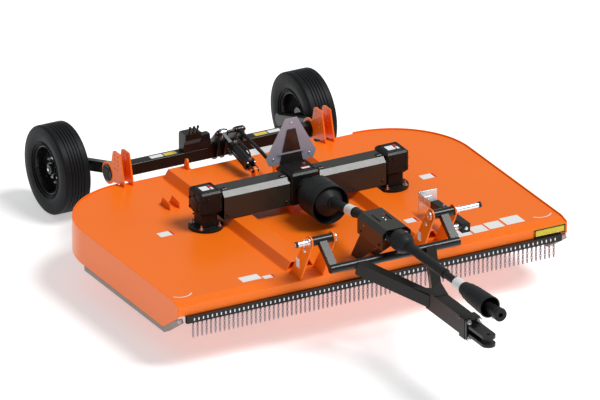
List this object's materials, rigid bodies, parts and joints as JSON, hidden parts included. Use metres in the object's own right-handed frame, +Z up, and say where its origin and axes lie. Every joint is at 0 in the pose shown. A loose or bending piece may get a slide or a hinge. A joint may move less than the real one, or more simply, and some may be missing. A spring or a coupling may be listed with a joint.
{
  "type": "brush mower",
  "caption": "Trailed rotary brush mower: rounded deck with spindle gearboxes, shielded driveline, pivoting tongue, lift axle with wheels and a front chain curtain.",
  "frame": {"origin": "on the ground, under the middle of the machine's outline", "axes": "+Z up, -Y towards the tongue and tractor, +Y towards the wheels, +X the machine's left"},
  "size_m": [3.15, 5.094, 1.1579],
  "materials": {
    "orange_paint": "gloss powder coat",
    "black_paint": "semi-gloss powder coat",
    "black_plastic": "satin moulded",
    "tyre": "ribbed, matt",
    "bright_steel": "plated",
    "dark_steel": "machined and oiled",
    "chain_steel": "zinc plated",
    "grey_paint": "satin",
    "cast_black": "painted casting",
    "reflector": "prismatic amber"
  },
  "bodies": {
    "deck": {"deck_plate": "orange_paint", "front_lip": "orange_paint", "side_skirt_left": "orange_paint", "side_skirt_right": "orange_paint", "skid_shoes": "dark_steel", "rear_skirt": "orange_paint", "chain_rail": "black_paint", "reflector": "reflector", "gearbox_left_case": "cast_black", "gearbox_right_case": "cast_black", "gearbox_centre_case": "cast_black", "gearbox_bolts": "bright_steel", "cross_covers": "black_paint", "stiffeners": "orange_paint", "front_brackets": "orange_paint", "centre_stand": "orange_paint", "deck_lugs": "orange_paint", "marker_bar": "grey_paint", "marker_plate": "grey_paint", "pivot_pins": "bright_steel", "carrier_stand": "black_paint", "shaft_guard": "black_paint", "input_bell": "black_plastic", "rear_shaft_guard": "black_plastic", "rear_brackets": "orange_paint", "jack_outer": "black_paint"},
    "chains": {"front_chains": "chain_steel"},
    "jack": {"jack_leg": "bright_steel"},
    "tongue": {"tongue_crank": "black_paint", "tongue_arms": "black_paint", "tongue_beam": "black_paint"},
    "hitch": {"hitch_clevis": "black_paint"},
    "axle": {"rock_shaft": "black_paint", "wheel_arms": "black_paint", "lift_levers": "black_paint", "valve_box": "black_paint"},
    "wheel_left": {"tyre_left": "tyre", "rim_left": "black_paint"},
    "wheel_right": {"tyre_right": "tyre", "rim_right": "black_paint"},
    "cylinder_barrel": {"lift_barrel": "black_paint"},
    "cylinder_rod": {"lift_rod": "bright_steel"},
    "depth_rod": {"depth_rod": "black_paint"},
    "spindle_left": {"spindle_left": "dark_steel", "blade_pan_left": "dark_steel"},
    "spindle_right": {"spindle_right": "dark_steel", "blade_pan_right": "dark_steel"},
    "blade_left_a": {"blade_left_a": "dark_steel"},
    "blade_left_b": {"blade_left_b": "dark_steel"},
    "blade_right_a": {"blade_right_a": "dark_steel"},
    "blade_right_b": {"blade_right_b": "dark_steel"},
    "cross_shaft": {"cross_shaft": "dark_steel"},
    "input_shaft": {"input_shaft": "dark_steel"},
    "rear_shaft": {"rear_shaft": "dark_steel"},
    "carrier_shaft": {"carrier_shaft": "dark_steel"},
    "joint_cross": {"joint_cross": "dark_steel"},
    "driveline_outer": {"front_guard_outer": "black_plastic"},
    "driveline_inner": {"front_guard_inner": "black_plastic"},
    "front_shaft": {"front_shaft": "black_paint"}
  },
  "joints": [
    {"name": "axle_pitch", "type": "hinge", "parent": "deck", "child": "axle", "pos_m": [0, 1.563, 0.533], "axis": [1, 0, 0], "range_deg": [-12, 12]},
    {"name": "wheel_left_roll", "type": "hinge", "parent": "axle", "child": "wheel_left", "pos_m": [1.009, 2.217, 0.33], "axis": [1, 0, 0], "continuous": true},
    {"name": "wheel_right_roll", "type": "hinge", "parent": "axle", "child": "wheel_right", "pos_m": [-1.009, 2.217, 0.33], "axis": [1, 0, 0], "continuous": true},
    {"name": "cylinder_pitch", "type": "hinge", "parent": "deck", "child": "cylinder_barrel", "pos_m": [-0.06, 0.983, 0.593], "axis": [1, 0, 0], "range_deg": [-1.6, 1.6]},
    {"name": "cylinder_stroke", "type": "slide", "parent": "cylinder_barrel", "child": "cylinder_rod", "axis": [0, 0.9798, 0.2], "range_m": [-0.04, 0.04]},
    {"name": "depth_rod_pitch", "type": "hinge", "parent": "axle", "child": "depth_rod", "pos_m": [0.075, 1.473, 0.693], "axis": [1, 0, 0], "range_deg": [-13.6, 13.6]},
    {"name": "tongue_pitch", "type": "hinge", "parent": "deck", "child": "tongue", "pos_m": [0, -0.807, 0.843], "axis": [1, 0, 0], "range_deg": [-5.3, 5.3]},
    {"name": "hitch_swivel", "type": "hinge", "parent": "tongue", "child": "hitch", "pos_m": [0, -2.137, 0.583], "axis": [0, 1, 0], "range_deg": [-20, 20]},
    {"name": "driveline_yaw", "type": "hinge", "parent": "deck", "child": "joint_cross", "pos_m": [0, -1.107, 0.843], "axis": [0, 0, 1], "range_deg": [-20, 20]},
    {"name": "driveline_pitch", "type": "hinge", "parent": "joint_cross", "child": "driveline_outer", "pos_m": [0, -1.107, 0.843], "axis": [1, 0, 0], "range_deg": [-6.6, 6.6]},
    {"name": "driveline_slide", "type": "slide", "parent": "driveline_outer", "child": "driveline_inner", "axis": [0, -1, 0], "range_m": [-0.1, 0.2]},
    {"name": "front_shaft_spin", "type": "hinge", "parent": "driveline_inner", "child": "front_shaft", "pos_m": [0, -1.107, 0.843], "axis": [0, 1, 0], "continuous": true},
    {"name": "carrier_shaft_spin", "type": "hinge", "parent": "deck", "child": "carrier_shaft", "pos_m": [0, -0.8, 0.843], "axis": [0, 1, 0], "continuous": true},
    {"name": "rear_shaft_spin", "type": "hinge", "parent": "deck", "child": "rear_shaft", "pos_m": [0, 0.113, 0.708], "axis": [0, 0.9861, -0.1664], "continuous": true},
    {"name": "input_shaft_spin", "type": "hinge", "parent": "deck", "child": "input_shaft", "pos_m": [0, 0.428, 0.708], "axis": [0, 1, 0], "continuous": true},
    {"name": "cross_shaft_spin", "type": "hinge", "parent": "deck", "child": "cross_shaft", "pos_m": [0, 0.428, 0.708], "axis": [1, 0, 0], "continuous": true},
    {"name": "spindle_left_spin", "type": "hinge", "parent": "deck", "child": "spindle_left", "pos_m": [0.754, 0.428, 0.363], "axis": [0, 0, 1], "continuous": true},
    {"name": "spindle_right_spin", "type": "hinge", "parent": "deck", "child": "spindle_right", "pos_m": [-0.754, 0.428, 0.363], "axis": [0, 0, 1], "continuous": true},
    {"name": "blade_left_a_swing", "type": "hinge", "parent": "spindle_left", "child": "blade_left_a", "pos_m": [1.129, 0.428, 0.355], "axis": [0, 0, 1], "range_deg": [-100, 100]},
    {"name": "blade_left_b_swing", "type": "hinge", "parent": "spindle_left", "child": "blade_left_b", "pos_m": [0.379, 0.428, 0.355], "axis": [0, 0, 1], "range_deg": [-100, 100]},
    {"name": "blade_right_a_swing", "type": "hinge", "parent": "spindle_right", "child": "blade_right_a", "pos_m": [-0.754, 0.803, 0.355], "axis": [0, 0, 1], "range_deg": [-100, 100]},
    {"name": "blade_right_b_swing", "type": "hinge", "parent": "spindle_right", "child": "blade_right_b", "pos_m": [-0.754, 0.053, 0.355], "axis": [0, 0, 1], "range_deg": [-100, 100]},
    {"name": "chain_swing", "type": "hinge", "parent": "deck", "child": "chains", "pos_m": [0, -0.7, 0.397], "axis": [1, 0, 0], "range_deg": [-8, 75]},
    {"name": "jack_extend", "type": "slide", "parent": "deck", "child": "jack", "axis": [0, 1, 0], "range_m": [0, 0.2]}
  ],
  "couplings": [
    {"joint": "tongue_pitch", "follows": "axle_pitch", "ratio": -0.42},
    {"joint": "driveline_pitch", "follows": "axle_pitch", "ratio": -0.52},
    {"joint": "cylinder_pitch", "follows": "axle_pitch", "ratio": -0.1124},
    {"joint": "cylinder_stroke", "follows": "axle_pitch", "m_per_rad": -0.1748},
    {"joint": "depth_rod_pitch", "follows": "axle_pitch", "ratio": -1.1124},
    {"joint": "spindle_right_spin", "follows": "spindle_left_spin", "ratio": -1},
    {"joint": "cross_shaft_spin", "follows": "spindle_left_spin", "ratio": 0.81818},
    {"joint": "input_shaft_spin", "follows": "spindle_left_spin", "ratio": 0.6},
    {"joint": "rear_shaft_spin", "follows": "spindle_left_spin", "ratio": 0.6},
    {"joint": "carrier_shaft_spin", "follows": "spindle_left_spin", "ratio": 0.6},
    {"joint": "front_shaft_spin", "follows": "spindle_left_spin", "ratio": 0.6}
  ]
}
